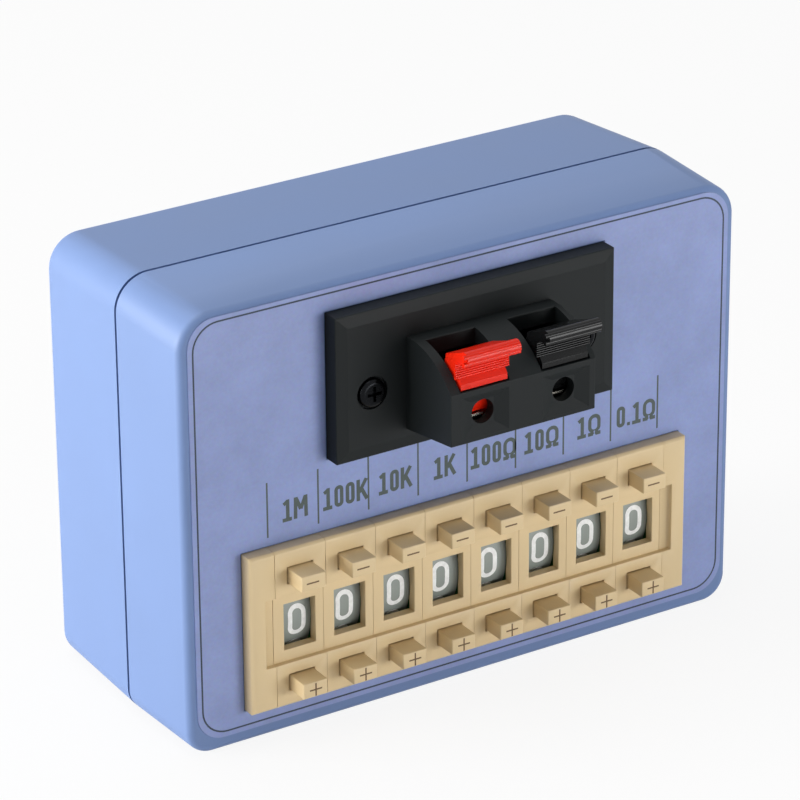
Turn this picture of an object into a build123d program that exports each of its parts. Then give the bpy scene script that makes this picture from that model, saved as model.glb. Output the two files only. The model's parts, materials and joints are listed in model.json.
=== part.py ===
from build123d import *
import os
from math import cos, radians, sin, sqrt, tan

# A pocket resistance decade box: a moulded case in two halves, a bank of
# push-wheel decade switches and a two-way lever terminal on its panel.
# Millimetres. The origin is the middle of the underside, +Z is up, +X is to
# the right of someone facing the panel, and the panel looks towards -Y.

os.makedirs("parts", exist_ok=True)

# Case
front_depth = 16.0
rear_depth = 21.6
wall = 2.0
front_draft = 0.5
rear_draft = 0.85
rear_top_draft = 1.35
upper_corner_radius = 5.0
lower_corner_radius = 3.8
front_edge_radius = 1.2
back_edge_radius = 2.0
parting_gap = 0.5
tongue_thickness = 1.0
tongue_length = 2.0
tongue_inset = 0.05
tongue_clearance = 0.1

# Case screws and the pillars they join
case_screw_radius = 1.1
case_screw_head_radius = 1.9
case_screw_head_height = 1.5
case_screw_head_edge = 0.5
case_screw_grip = 4.0
case_screw_bite = 6.0
pillar_radius = 2.9
front_boss_radius = 2.5
pillar_gap = 0.3
screw_clearance = 0.1

# Cross recesses in the screw heads
cross_reach = 1.1
cross_width = 0.45
cross_depth = 0.7

# Layout of the panel, from its sides inwards
side_margin = 9.475
bottom_margin = 5.15
label_band = 10.65
top_margin = 4.5

# Printed film on the panel
label_side_inset = 1.8
label_low_inset = 2.05
label_high_inset = 1.15
label_radius = 4.2
label_thickness = 0.15

# Switch bank
decades = 8
module_pitch = 8.0
module_gap = 0.06
bank_x = -0.275
flange_top = 12.1
flange_bottom = 11.7
flange_proud = 2.3
flange_edge = 0.35
housing_height = 21.6
channel_height = 10.3
channel_depth = 0.8
channel_overrun = 1.55
window_width = 5.0
window_height = 7.0
window_shift = 0.25
side_wall = 0.5
top_wall = 0.9
back_wall = 0.8
cutout_clearance = 0.15
detent_base = 2.4
detent_tip = 0.4

# Digit wheel
digits = 10
drum_radius = 9.1
drum_width = 5.2
drum_rim = 0.3
drum_recess_radius = 6.0
drum_setback = 0.05
star_tip_radius = 6.2
star_root_radius = 4.9
star_thickness = 0.5
star_offset = 0.27
pin_radius = 1.0
pin_clearance = 0.05
wiper_radius = 5.5
wiper_thickness = 0.2
wiper_offset = 0.05
drum_clearance = 0.3
drum_side_gap = 0.25

# Push buttons
button_width = 3.8
button_height = 2.3
button_proud = 5.9
button_margin = 2.65
button_travel = 2.5
button_edge = 0.15
slot_clearance = 0.14
bridge_depth = 1.6
bridge_height = 1.0
shoulder_gap = 0.1
blade_thickness = 0.5
pawl_reach = 9.0
pawl_width = 1.0
pawl_gap = 0.3
leaf_gap = 1.1
leaf_rise = 0.45
leaf_thickness = 0.3

# Decade boards
board_thickness = 0.8
board_offset = 3.05
board_margin = 0.8
board_clearance = 0.05
board_front = 1.0
tail_height = 12.0
tail_length = 7.5
chip_length = 2.0
chip_width = 1.25
chip_thickness = 0.5
chip_rows = 3
chip_columns = 2
chip_row_pitch = 3.2
chip_gap = 0.3
link_radius = 0.35
link_offset = 5.2
link_edge = 1.2

# End plates, tie rods and nuts
end_width = 3.9
cheek_thickness = 2.5
lug_height = 10.0
lug_length = 3.0
lug_proud = 1.1
rod_radius = 0.8
rod_clearance = 0.1
rod_margin = 2.4
rod_back = 2.5
rod_boss_radius = 1.8
rod_boss_gap = 0.597065
rod_end = 0.3
nut_flats = 3.2
nut_thickness = 1.3

# Terminal moulding
terminal_x = -0.025
plate_width = 45.0
plate_top = 11.0
plate_bottom = 10.5
plate_proud = 3.1
bevel_depth = 0.4
bevel_top = 1.7
bevel_side = 1.7
block_width = 23.2
block_proud = 14.2
block_top = 6.0
block_crown = 5.05
block_crown_proud = 9.3
block_front_top = 1.4
block_front_bottom = -6.15
block_base_bottom = -7.7
block_skin = 1.3
front_wall = 2.2
slot_back = 5.5
spigot_depth = 2.6
spigot_top = 5.0
spigot_bottom = -7.2
spigot_width = 22.4
spigot_clearance = 0.2
back_plate_thickness = 1.2

# Wire entries
wire_spacing = 13.0
wire_shift = 0.35
wire_radius = 1.75
wire_height = -2.35
funnel_width = 7.6
funnel_height = 6.2
funnel_middle = -2.5
funnel_depth = 0.7

# Levers
lever_width = 7.4
lever_clearance = 0.25
lever_thickness = 3.1
lever_floor_gap = 0.3
passage_clearance = 0.1
passage_top = -3.2
passage_rise = 0.6
lip_setback = 0.3
lip_height = 0.8
hollow_setback = 0.9
hollow_height = 1.6
shoulder_setback = 1.6
shoulder_height = 5.8
heel_height = 1.5
tab_height = 6.5
tab_proud = 14.7
lever_travel = 16.0
pivot_proud = 10.2
pivot_height = -2.0
trunnion_radius = 1.0
trunnion_length = 0.5
trunnion_gap = 0.1
tab_overhang = 1.05
tab_radius = 1.0

# Contact strips
strip_width = 2.4
strip_thickness = 0.3
strip_height = -3.5
strip_gap = 0.2
stop_height = 4.0
tag_length = 6.0
tag_slot_clearance = 0.1

# Terminal screws and nuts
terminal_screw_spacing = 34.0
terminal_screw_height = -0.95
terminal_screw_radius = 1.1
terminal_head_radius = 2.1
terminal_head_height = 1.2
terminal_head_edge = 0.7
terminal_recess_depth = 0.6
terminal_recess_radius = 2.4
terminal_nut_flats = 4.0
terminal_nut_thickness = 1.6
terminal_screw_tail = 0.8

# Internal leads
lead_radius = 0.65
lead_bend = 4.0
lead_straight = 9.0
lead_out = 16.0
lead_back = 2.0
lead_drop = 9.0
lead_side = 6.5
lead_lean = 1.5
lead_bow = 10.0

# Worked out from the sizes above
bank_half = decades * module_pitch / 2
bank_z = bottom_margin + flange_bottom
terminal_z = bank_z + flange_top + label_band + plate_bottom
case_width = 2 * (bank_half + end_width + side_margin)
case_height = terminal_z + plate_top + top_margin
panel_y = -(front_depth + rear_depth) / 2
back_y = panel_y + front_depth + rear_depth
parting_y = panel_y + front_depth
front_edge_y = parting_y - parting_gap / 2
rear_edge_y = parting_y + parting_gap / 2
boss_x = case_width / 2 - wall - pillar_gap - pillar_radius
boss_low = wall + pillar_gap + pillar_radius
boss_high = case_height - rear_top_draft - wall - pillar_gap - pillar_radius
tongue_outside = wall - tongue_inset - tongue_thickness
module_width = module_pitch - module_gap
axle_depth = drum_setback + drum_radius
star_outer = -drum_width / 2 - star_offset - star_thickness
blade_right = star_outer + blade_thickness
button_offset = housing_height / 2 - button_margin
board_height = housing_height - 2 * board_margin
rod_offset = housing_height / 2 - rod_margin
rod_reach = drum_radius + rod_boss_gap + rod_boss_radius
rod_depth = axle_depth + sqrt(rod_reach ** 2 - rod_offset ** 2)
housing_depth = rod_depth + rod_back
leaf_length = rod_depth - rod_boss_radius - button_travel - pawl_reach - leaf_gap
tail_end = housing_depth + tail_length
link_depth = tail_end - link_edge
chip_pitch = (tail_length - 2 * chip_gap - chip_length) / (chip_columns - 1)
hex_points = 6


def block(x0, x1, y0, y1, z0, z1):
    """Rectangular block between two opposite corners."""
    middle = Pos((x0 + x1) / 2, (y0 + y1) / 2, (z0 + z1) / 2)
    return middle * Box(x1 - x0, y1 - y0, z1 - z0)


def rod_along_x(radius, x0, x1, y, z):
    """Round rod along X."""
    return Pos((x0 + x1) / 2, y, z) * Rot(0, 90, 0) * Cylinder(radius, x1 - x0)


def rod_along_y(radius, y0, y1, x, z):
    """Round rod along Y."""
    return Pos(x, (y0 + y1) / 2, z) * Rot(90, 0, 0) * Cylinder(radius, y1 - y0)


def side_profile(points, x0, x1):
    """Outline in the Y-Z plane, made into a solid from x0 to x1."""
    outline = make_face(Polyline(*points, close=True))
    return extrude(Plane.YZ.offset(x0) * outline, x1 - x0)


def plan_profile(points, z0, z1):
    """Outline in the X-Y plane, made into a solid from z0 to z1."""
    outline = make_face(Polyline(*points, close=True))
    return extrude(Plane.XY.offset(z0) * outline, z1 - z0)


def drafted_block(x0, x1, z0, z1, wide_y, narrow_y, side, top, bottom):
    """Block whose sides lean in by their insets from its wide face to its narrow one."""
    across = plan_profile([(x0, wide_y), (x1, wide_y), (x1 - side, narrow_y),
                           (x0 + side, narrow_y)], z0, z1)
    upright = side_profile([(wide_y, z0), (wide_y, z1), (narrow_y, z1 - top),
                            (narrow_y, z0 + bottom)], x0, x1)
    return across & upright


def hexagon_along(plane, flats, length):
    """Hexagonal bar standing on a plane."""
    shape = RegularPolygon(flats / 2, hex_points, major_radius=False)
    return extrude(plane * shape, length)


def long_edges(solid, above):
    """Front-to-back edges of a case block, its upper pair or its lower one."""
    return [edge for edge in solid.edges()
            if abs(edge.tangent_at(0.5).Y) > 0.5
            and (edge.center().Z > case_height / 2) == above]


def round_long_edges(solid, shrink):
    """Case block with its long edges rounded, the upper pair more than the lower."""
    solid = fillet(long_edges(solid, True), upper_corner_radius - shrink)
    return fillet(long_edges(solid, False), lower_corner_radius - shrink)


def case_solid(open_y, closed_y, side_draft, top_draft, shrink):
    """Drafted block from the parting line to a closed face, wall-inset by shrink."""
    half = case_width / 2 - shrink
    solid = drafted_block(-half, half, shrink, case_height - shrink, open_y, closed_y,
                          side_draft, top_draft, 0)
    return round_long_edges(solid, shrink)


def case_plug(y0, y1, shrink):
    """Straight block with the case outline, wall-inset by shrink."""
    half = case_width / 2 - shrink
    return round_long_edges(block(-half, half, y0, y1, shrink, case_height - shrink), shrink)


def face_edges(solid, y):
    """Edges that lie in one plane across the case."""
    return solid.edges().filter_by_position(Axis.Y, y - 0.001, y + 0.001)


def boss_places():
    """The four corners where the case halves are screwed together."""
    return [(x, z) for x in (-boss_x, boss_x) for z in (boss_low, boss_high)]


def make_front_shell():
    """Front half: panel, walls, tongue, bosses and panel cut-outs."""
    outside = case_solid(front_edge_y, panel_y, front_draft, front_draft, 0)
    outside = fillet(face_edges(outside, panel_y), front_edge_radius)
    inner_face = panel_y + wall
    shell = outside - case_solid(front_edge_y, inner_face, front_draft, front_draft, wall)
    tongue_end = front_edge_y + tongue_length
    shell += (case_plug(front_edge_y, tongue_end, tongue_outside)
              - case_plug(front_edge_y, tongue_end, wall - tongue_inset))
    for x, z in boss_places():
        shell += rod_along_y(front_boss_radius, inner_face, front_edge_y, x, z)
    for x, z in boss_places():
        pilot = case_screw_radius + screw_clearance / 2
        shell -= rod_along_y(pilot, front_edge_y - case_screw_bite - pillar_gap, front_edge_y,
                             x, z)
    bank_side = bank_half + cheek_thickness + cutout_clearance
    bank_reach = housing_height / 2 + cutout_clearance
    shell -= block(bank_x - bank_side, bank_x + bank_side, panel_y, inner_face,
                   bank_z - bank_reach, bank_z + bank_reach)
    side = spigot_width / 2 + spigot_clearance
    shell -= block(terminal_x - side, terminal_x + side, panel_y, inner_face,
                   terminal_z + spigot_bottom - spigot_clearance,
                   terminal_z + spigot_top + spigot_clearance)
    for x in terminal_screw_places():
        hole = terminal_screw_radius + screw_clearance
        shell -= rod_along_y(hole, panel_y, inner_face, x, terminal_z + terminal_screw_height)
    return shell


def make_rear_shell():
    """Rear half: back wall, rebate for the tongue and screw pillars."""
    outside = case_solid(rear_edge_y, back_y, rear_draft, rear_top_draft, 0)
    outside = fillet(face_edges(outside, back_y), back_edge_radius)
    inner_face = back_y - wall
    shell = outside - case_solid(rear_edge_y, inner_face, rear_draft, rear_top_draft, wall)
    rebate_end = front_edge_y + tongue_length
    shell -= case_plug(rear_edge_y, rebate_end, tongue_outside - tongue_clearance)
    seat = front_edge_y + case_screw_grip
    well = case_screw_head_radius + screw_clearance
    for x, z in boss_places():
        shell += rod_along_y(pillar_radius, front_edge_y, inner_face, x, z)
    for x, z in boss_places():
        shell -= rod_along_y(well, seat, back_y, x, z)
        shell -= rod_along_y(case_screw_radius + screw_clearance, front_edge_y, seat, x, z)
    return shell


def cut_cross(head, x, y, z, inward):
    """Cross recess cut into a screw head from its outer face at y."""
    low, high = sorted((y, y + inward * cross_depth))
    for reach_x, reach_z in ((cross_reach, cross_width / 2), (cross_width / 2, cross_reach)):
        head -= block(x - reach_x, x + reach_x, low, high, z - reach_z, z + reach_z)
    return head


def make_case_screws():
    """Four pan-head screws, from the back wells into the front bosses."""
    seat = front_edge_y + case_screw_grip
    screws = []
    for x, z in boss_places():
        head = rod_along_y(case_screw_head_radius, seat, seat + case_screw_head_height, x, z)
        top = seat + case_screw_head_height
        head = cut_cross(fillet(face_edges(head, top), case_screw_head_edge), x, top, z, -1)
        screws.append(head + rod_along_y(case_screw_radius, front_edge_y - case_screw_bite,
                                         seat, x, z))
    return Compound(screws)


def make_front_label():
    """Printed film with openings for the bank and the terminal."""
    width = case_width - 2 * label_side_inset
    height = case_height - label_low_inset - label_high_inset
    plane = Plane(origin=(0, panel_y, label_low_inset + height / 2), x_dir=(1, 0, 0),
                  z_dir=(0, -1, 0))
    film = extrude(plane * RectangleRounded(width, height, label_radius), label_thickness)
    side = bank_half + end_width + cutout_clearance
    film -= block(bank_x - side, bank_x + side, panel_y - label_thickness, panel_y,
                  bank_z - flange_bottom - cutout_clearance,
                  bank_z + flange_top + cutout_clearance)
    side = plate_width / 2 + cutout_clearance
    film -= block(terminal_x - side, terminal_x + side, panel_y - label_thickness, panel_y,
                  terminal_z - plate_bottom - cutout_clearance,
                  terminal_z + plate_top + cutout_clearance)
    return film


def module_x(number):
    """Middle of one switch module."""
    return bank_x + (number - (decades + 1) / 2) * module_pitch


def deep(depth):
    """Y of a point this deep behind the panel face."""
    return panel_y + depth


def make_switch_frame(x):
    """Module housing with its flange, channel, window and button slots."""
    half = module_width / 2
    housing_half = housing_height / 2
    inner_half = housing_half - top_wall
    frame = block(x - half, x + half, deep(-flange_proud), deep(0),
                  bank_z - flange_bottom, bank_z + flange_top)
    edges = face_edges(frame, deep(-flange_proud)).filter_by(Axis.X)
    frame = chamfer(edges, flange_edge)
    frame += block(x - half, x + half, deep(0), deep(housing_depth),
                   bank_z - housing_half, bank_z + housing_half)
    frame -= block(x - half, x + half, deep(-flange_proud), deep(channel_depth - flange_proud),
                   bank_z - channel_height / 2, bank_z + channel_height / 2)
    inner_end = housing_depth - back_wall
    frame -= block(x - half + side_wall, x + board_offset, deep(0), deep(inner_end),
                   bank_z - inner_half, bank_z + inner_half)
    board_half = board_height / 2 + board_clearance
    frame -= block(x + board_offset, x + half, deep(0), deep(inner_end),
                   bank_z - board_half, bank_z + board_half)
    tail_half = tail_height / 2 + board_clearance
    frame -= block(x + board_offset, x + half, deep(inner_end), deep(housing_depth),
                   bank_z - tail_half, bank_z + tail_half)
    frame -= rod_along_x(drum_radius + drum_clearance, x - drum_width / 2 - drum_side_gap,
                         x + board_offset, deep(axle_depth), bank_z)
    window_x = x + window_shift
    frame -= block(window_x - window_width / 2, window_x + window_width / 2,
                   deep(-flange_proud), deep(0),
                   bank_z - window_height / 2, bank_z + window_height / 2)
    slot_x = button_width / 2 + slot_clearance
    slot_z = button_height / 2 + slot_clearance
    for side in (-1, 1):
        z = bank_z + side * button_offset
        frame -= block(x - slot_x, x + slot_x, deep(-flange_proud), deep(0),
                       z - slot_z, z + slot_z)
    frame -= rod_along_x(pin_radius + pin_clearance, x - half, x - half + side_wall,
                         deep(axle_depth), bank_z)
    for side in (-1, 1):
        frame += rod_along_x(rod_boss_radius, x - half, x + board_offset,
                             deep(rod_depth), bank_z + side * rod_offset)
    for side in (-1, 1):
        frame -= rod_along_x(rod_radius + rod_clearance, x - half, x + half,
                             deep(rod_depth), bank_z + side * rod_offset)
    nose = axle_depth + star_tip_radius + pawl_gap
    detent = [(deep(inner_end), bank_z - detent_base / 2),
              (deep(inner_end), bank_z + detent_base / 2),
              (deep(nose), bank_z + detent_tip / 2),
              (deep(nose), bank_z - detent_tip / 2)]
    frame += side_profile(detent, x + star_outer, x + blade_right)
    return frame


def star_outline():
    """Ten pointed teeth about the wheel's axle, in the Y-Z plane."""
    points = []
    for step in range(2 * digits):
        angle = radians(step * 180 / digits)
        radius = star_root_radius if step % 2 else star_tip_radius
        points.append((deep(axle_depth) + radius * cos(angle), bank_z + radius * sin(angle)))
    return points


def make_digit_wheel(x):
    """Round digit drum with its ratchet star, pins and contact wiper."""
    drum_right = x + drum_width / 2
    drum = rod_along_x(drum_radius, x - drum_width / 2, drum_right + drum_rim,
                       deep(axle_depth), bank_z)
    drum -= rod_along_x(drum_recess_radius, drum_right, drum_right + drum_rim,
                        deep(axle_depth), bank_z)
    wheel = drum + side_profile(star_outline(), x + star_outer, x - drum_width / 2)
    pin_left = x - module_width / 2 + module_gap
    pin_right = x + board_offset + board_thickness - module_gap
    wheel += rod_along_x(pin_radius, pin_left, pin_right, deep(axle_depth), bank_z)
    wiper = rod_along_x(wiper_radius, drum_right, drum_right + wiper_thickness,
                        deep(axle_depth), bank_z)
    wiper -= rod_along_x(pin_radius + wiper_offset, drum_right, drum_right + wiper_thickness,
                         deep(axle_depth), bank_z)
    return Compound([wheel.solid(), wiper.solid()])


def make_button(x, side):
    """Button cap with its bridge, pawl blade and return leaf in one moulding."""
    z = bank_z + side * button_offset
    outer = button_height / 2
    inner = outer - bridge_height
    left = x + star_outer
    button = block(x - button_width / 2, x + button_width / 2, deep(-button_proud),
                   deep(shoulder_gap), z - button_height / 2, z + button_height / 2)
    edges = face_edges(button, deep(-button_proud))
    button = chamfer(edges, button_edge)
    low, high = sorted((z + side * inner, z + side * outer))
    button += block(left, x + button_width / 2, deep(shoulder_gap),
                    deep(shoulder_gap + bridge_depth), low, high)
    button += block(left, x + blade_right, deep(shoulder_gap), deep(pawl_reach), low, high)
    tip = bank_z + side * (star_tip_radius + pawl_gap)
    low_tip, high_tip = sorted((tip, z + side * inner))
    button += block(left, x + blade_right, deep(pawl_reach - pawl_width), deep(pawl_reach),
                    low_tip, high_tip)
    top = z + side * outer
    leaf = [(deep(pawl_reach), top), (deep(pawl_reach), top - side * leaf_thickness),
            (deep(pawl_reach + leaf_length), top + side * (leaf_rise - leaf_thickness)),
            (deep(pawl_reach + leaf_length), top + side * leaf_rise)]
    button += side_profile(leaf, left, x + blade_right)
    return button


def make_decade_board(x):
    """Circuit board with its chip resistors on the tail."""
    left = x + board_offset
    right = left + board_thickness
    inner_end = housing_depth - back_wall - board_clearance
    board = block(left, right, deep(board_front), deep(inner_end),
                  bank_z - board_height / 2, bank_z + board_height / 2)
    board += block(left, right, deep(inner_end), deep(tail_end),
                   bank_z - tail_height / 2, bank_z + tail_height / 2)
    board -= rod_along_x(pin_radius + pin_clearance, left, right, deep(axle_depth), bank_z)
    for side in (-1, 1):
        board -= rod_along_x(rod_radius + rod_clearance, left, right, deep(rod_depth),
                             bank_z + side * rod_offset)
    pieces = [board.solid()]
    chip_start = housing_depth + chip_gap + chip_length / 2
    for row in range(chip_rows):
        for column in range(chip_columns):
            y = deep(chip_start + column * chip_pitch)
            z = bank_z + (row - (chip_rows - 1) / 2) * chip_row_pitch
            pieces.append(block(left - chip_thickness, left, y - chip_length / 2,
                                y + chip_length / 2, z - chip_width / 2,
                                z + chip_width / 2).solid())
    return Compound(pieces)


def make_board_links():
    """Wire links between neighbouring boards, high and low by turns."""
    links = []
    for number in range(1, decades):
        start = module_x(number) + board_offset + board_thickness
        end = module_x(number + 1) + board_offset
        height = bank_z + (link_offset if number % 2 else -link_offset)
        links.append(rod_along_x(link_radius, start, end, deep(link_depth), height))
    return Compound(links)


def make_end_plate(side):
    """End cheek of the bank, with its flange, channel end and snap lug."""
    inner = bank_x + side * bank_half
    outer = inner + side * end_width
    cheek = inner + side * cheek_thickness
    low, high = sorted((inner, outer))
    plate = block(low, high, deep(-flange_proud), deep(0),
                  bank_z - flange_bottom, bank_z + flange_top)
    front = face_edges(plate, deep(-flange_proud))
    rim = list(front.filter_by(Axis.X))
    rim.append(front.filter_by(Axis.Z).sort_by(Axis.X)[-1 if side > 0 else 0])
    plate = chamfer(rim, flange_edge)
    low, high = sorted((inner, inner + side * channel_overrun))
    plate -= block(low, high, deep(-flange_proud), deep(channel_depth - flange_proud),
                   bank_z - channel_height / 2, bank_z + channel_height / 2)
    low, high = sorted((inner, cheek))
    housing_half = housing_height / 2
    plate += block(low, high, deep(0), deep(housing_depth),
                   bank_z - housing_half, bank_z + housing_half)
    lug_start = wall + module_gap
    lug = make_face(Polyline((cheek, deep(lug_start)), (cheek + side * lug_proud, deep(lug_start)),
                             (cheek, deep(lug_start + lug_length)), close=True))
    plate += extrude(Plane.XY.offset(bank_z - lug_height / 2) * lug, lug_height)
    for rod_side in (-1, 1):
        plate -= rod_along_x(rod_radius + rod_clearance, low, high, deep(rod_depth),
                             bank_z + rod_side * rod_offset)
    return plate


def rod_places():
    """Heights of the tie rods."""
    return [bank_z - rod_offset, bank_z + rod_offset]


def make_tie_rods():
    """Two rods through every module and both cheeks."""
    reach = bank_half + cheek_thickness + nut_thickness + rod_end
    return Compound([rod_along_x(rod_radius, bank_x - reach, bank_x + reach, deep(rod_depth), z)
                     for z in rod_places()])


def make_tie_nuts():
    """Four hexagon nuts against the cheeks."""
    nuts = []
    cheek = bank_half + cheek_thickness
    for z in rod_places():
        for start in (bank_x - cheek - nut_thickness, bank_x + cheek):
            plane = Plane(origin=(start, deep(rod_depth), z), x_dir=(0, 1, 0), z_dir=(1, 0, 0))
            nut = hexagon_along(plane, nut_flats, nut_thickness)
            nuts.append(nut - rod_along_x(rod_radius + rod_clearance / 2, start,
                                          start + nut_thickness, deep(rod_depth), z))
    return Compound(nuts)


def proud(distance):
    """Y of a point this far in front of the panel face."""
    return panel_y - distance


def terminal_screw_places():
    """The two screw positions of the terminal, left and right."""
    return [terminal_x - terminal_screw_spacing / 2, terminal_x + terminal_screw_spacing / 2]


def wire_places():
    """The two wire entries of the terminal, left and right."""
    middle = terminal_x + wire_shift
    return [middle - wire_spacing / 2, middle + wire_spacing / 2]


def arc_profile(base_proud):
    """Side outline of the block: sloping floor, upright face, curved crown."""
    floor = Polyline((proud(base_proud), terminal_z + block_base_bottom),
                     (proud(block_proud), terminal_z + block_front_bottom),
                     (proud(block_proud), terminal_z + block_front_top))
    crown = ThreePointArc((proud(block_proud), terminal_z + block_front_top),
                          (proud(block_crown_proud), terminal_z + block_crown),
                          (proud(base_proud), terminal_z + block_top))
    back = Line((proud(base_proud), terminal_z + block_top),
                (proud(base_proud), terminal_z + block_base_bottom))
    return make_face(Curve() + [floor, crown, back])


def make_terminal_body():
    """Flange plate with the lever block, its slots, funnels and spigot."""
    plate = [terminal_x - plate_width / 2, terminal_x + plate_width / 2,
             terminal_z - plate_bottom, terminal_z + plate_top]
    step_y = proud(plate_proud - bevel_depth)
    body = block(plate[0], plate[1], step_y, panel_y, plate[2], plate[3])
    body += drafted_block(*plate, step_y, proud(plate_proud), bevel_side, bevel_top, bevel_side)
    left = terminal_x - block_width / 2
    body += extrude(Plane.YZ.offset(left) * arc_profile(plate_proud), block_width)
    spigot_half = spigot_width / 2
    body += block(terminal_x - spigot_half, terminal_x + spigot_half, panel_y,
                  deep(spigot_depth), terminal_z + spigot_bottom, terminal_z + spigot_top)
    inner_front = block_proud - front_wall
    cavity_top = spigot_top - block_skin
    clear_top = block_top + block_skin
    cavity = [(deep(spigot_depth), terminal_z + spigot_bottom + block_skin),
              (proud(plate_proud), terminal_z + block_base_bottom + block_skin),
              (proud(inner_front), terminal_z + block_front_bottom + block_skin),
              (proud(inner_front), terminal_z + block_front_top),
              (proud(block_proud + block_skin), terminal_z + block_front_top),
              (proud(block_proud + block_skin), terminal_z + clear_top),
              (proud(slot_back), terminal_z + clear_top),
              (proud(slot_back), terminal_z + cavity_top),
              (deep(spigot_depth), terminal_z + cavity_top)]
    half_slot = lever_width / 2 + lever_clearance
    for x in wire_places():
        body -= side_profile(cavity, x - half_slot, x + half_slot)
        body -= rod_along_y(wire_radius, proud(block_proud), proud(inner_front),
                            x, terminal_z + wire_height)
        trunnion_reach = half_slot + trunnion_length
        body -= rod_along_x(trunnion_radius + pin_clearance, x - trunnion_reach,
                            x + trunnion_reach, proud(pivot_proud), terminal_z + pivot_height)
        mouth = Plane(origin=(x, proud(block_proud), terminal_z + funnel_middle),
                      x_dir=(1, 0, 0), z_dir=(0, 1, 0))
        throat = Plane(origin=(x, proud(block_proud - funnel_depth), terminal_z + wire_height),
                       x_dir=(1, 0, 0), z_dir=(0, 1, 0))
        body -= loft([(mouth * Rectangle(funnel_width, funnel_height)).face(),
                      (throat * Rectangle(2 * wire_radius, 2 * wire_radius)).face()], ruled=True)
    for x in terminal_screw_places():
        z = terminal_z + terminal_screw_height
        body -= rod_along_y(terminal_screw_radius + screw_clearance, proud(plate_proud), panel_y,
                            x, z)
        body -= rod_along_y(terminal_recess_radius, proud(plate_proud),
                            proud(plate_proud - terminal_recess_depth), x, z)
    return body


def make_terminal_back_plate():
    """Insulating plate that closes the block, with slots for the tags."""
    half = spigot_width / 2
    start = deep(spigot_depth)
    end = deep(spigot_depth + back_plate_thickness)
    plate = block(terminal_x - half, terminal_x + half, start, end,
                  terminal_z + spigot_bottom, terminal_z + spigot_top)
    slot_x = strip_width / 2 + tag_slot_clearance
    slot_z = strip_thickness / 2 + tag_slot_clearance
    for x in wire_places():
        plate -= block(x - slot_x, x + slot_x, start, end, terminal_z + strip_height - slot_z,
                       terminal_z + strip_height + slot_z)
    return plate


def make_contact(x):
    """Contact strip from the wire entry through the back plate to its tag."""
    tag_end = deep(spigot_depth + back_plate_thickness + tag_length)
    half_strip = strip_thickness / 2
    height = terminal_z + strip_height
    strip = block(x - strip_width / 2, x + strip_width / 2,
                  proud(block_proud - front_wall - strip_gap), tag_end,
                  height - half_strip, height + half_strip)
    stop_start = deep(spigot_depth - strip_thickness)
    strip += block(x - strip_width / 2, x + strip_width / 2, stop_start, deep(spigot_depth),
                   height, height + stop_height)
    return strip


def make_lever(x):
    """Clamping lever with its trunnions, wire passage and finger tab."""
    low_z = terminal_z + block_front_bottom + block_skin + lever_floor_gap
    front = block_proud - front_wall - lever_clearance
    back = front - lever_thickness
    lip = terminal_z + block_front_top + lever_clearance
    tab_z = terminal_z + tab_height
    pivot_z = terminal_z + pivot_height
    toe = (pivot_z - low_z) * tan(radians(lever_travel))
    outline = [(proud(front - toe), low_z), (proud(front), pivot_z), (proud(front), lip),
               (proud(block_proud - lip_setback), lip),
               (proud(block_proud - lip_setback), lip + lip_height),
               (proud(block_proud - hollow_setback), lip + hollow_height),
               (proud(block_proud - hollow_setback), tab_z - tab_radius),
               (proud(tab_proud), tab_z - tab_radius),
               (proud(tab_proud), tab_z + tab_radius),
               (proud(back + shoulder_setback), terminal_z + shoulder_height),
               (proud(back), pivot_z + heel_height), (proud(back), low_z)]
    half = lever_width / 2
    lever = side_profile(outline, x - half, x + half)
    lever += rod_along_x(tab_radius, x - half, x + half + tab_overhang, proud(tab_proud), tab_z)
    reach = half + lever_clearance + trunnion_length - trunnion_gap
    lever += rod_along_x(trunnion_radius, x - reach, x + reach, proud(pivot_proud), pivot_z)
    passage = [(proud(front), low_z), (proud(front), terminal_z + passage_top),
               (proud(back), terminal_z + passage_top + passage_rise), (proud(back), low_z)]
    passage_half = wire_radius + passage_clearance
    lever -= side_profile(passage, x - passage_half, x + passage_half)
    return lever


def make_terminal_screws():
    """Two pan-head screws through the flange plate and the panel."""
    screws = []
    seat = proud(plate_proud - terminal_recess_depth)
    tail = deep(wall + terminal_nut_thickness + terminal_screw_tail)
    z = terminal_z + terminal_screw_height
    for x in terminal_screw_places():
        head = rod_along_y(terminal_head_radius, seat - terminal_head_height, seat, x, z)
        top = seat - terminal_head_height
        head = cut_cross(fillet(face_edges(head, top), terminal_head_edge), x, top, z, 1)
        screws.append(head + rod_along_y(terminal_screw_radius, seat, tail, x, z))
    return Compound(screws)


def make_terminal_nuts():
    """Two hexagon nuts against the inside of the panel."""
    nuts = []
    z = terminal_z + terminal_screw_height
    for x in terminal_screw_places():
        plane = Plane(origin=(x, deep(wall), z), x_dir=(1, 0, 0), z_dir=(0, 1, 0))
        nut = hexagon_along(plane, terminal_nut_flats, terminal_nut_thickness)
        nuts.append(nut - rod_along_y(terminal_screw_radius + screw_clearance / 2, deep(wall),
                                      deep(wall + terminal_nut_thickness), x, z))
    return Compound(nuts)


def make_lead(points):
    """Insulated wire along straight runs joined by tangent arcs."""
    path = FilletPolyline(*points, radius=lead_bend)
    start = Plane(origin=path @ 0, z_dir=path % 0)
    return sweep(start * Circle(lead_radius), path=path)


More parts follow.
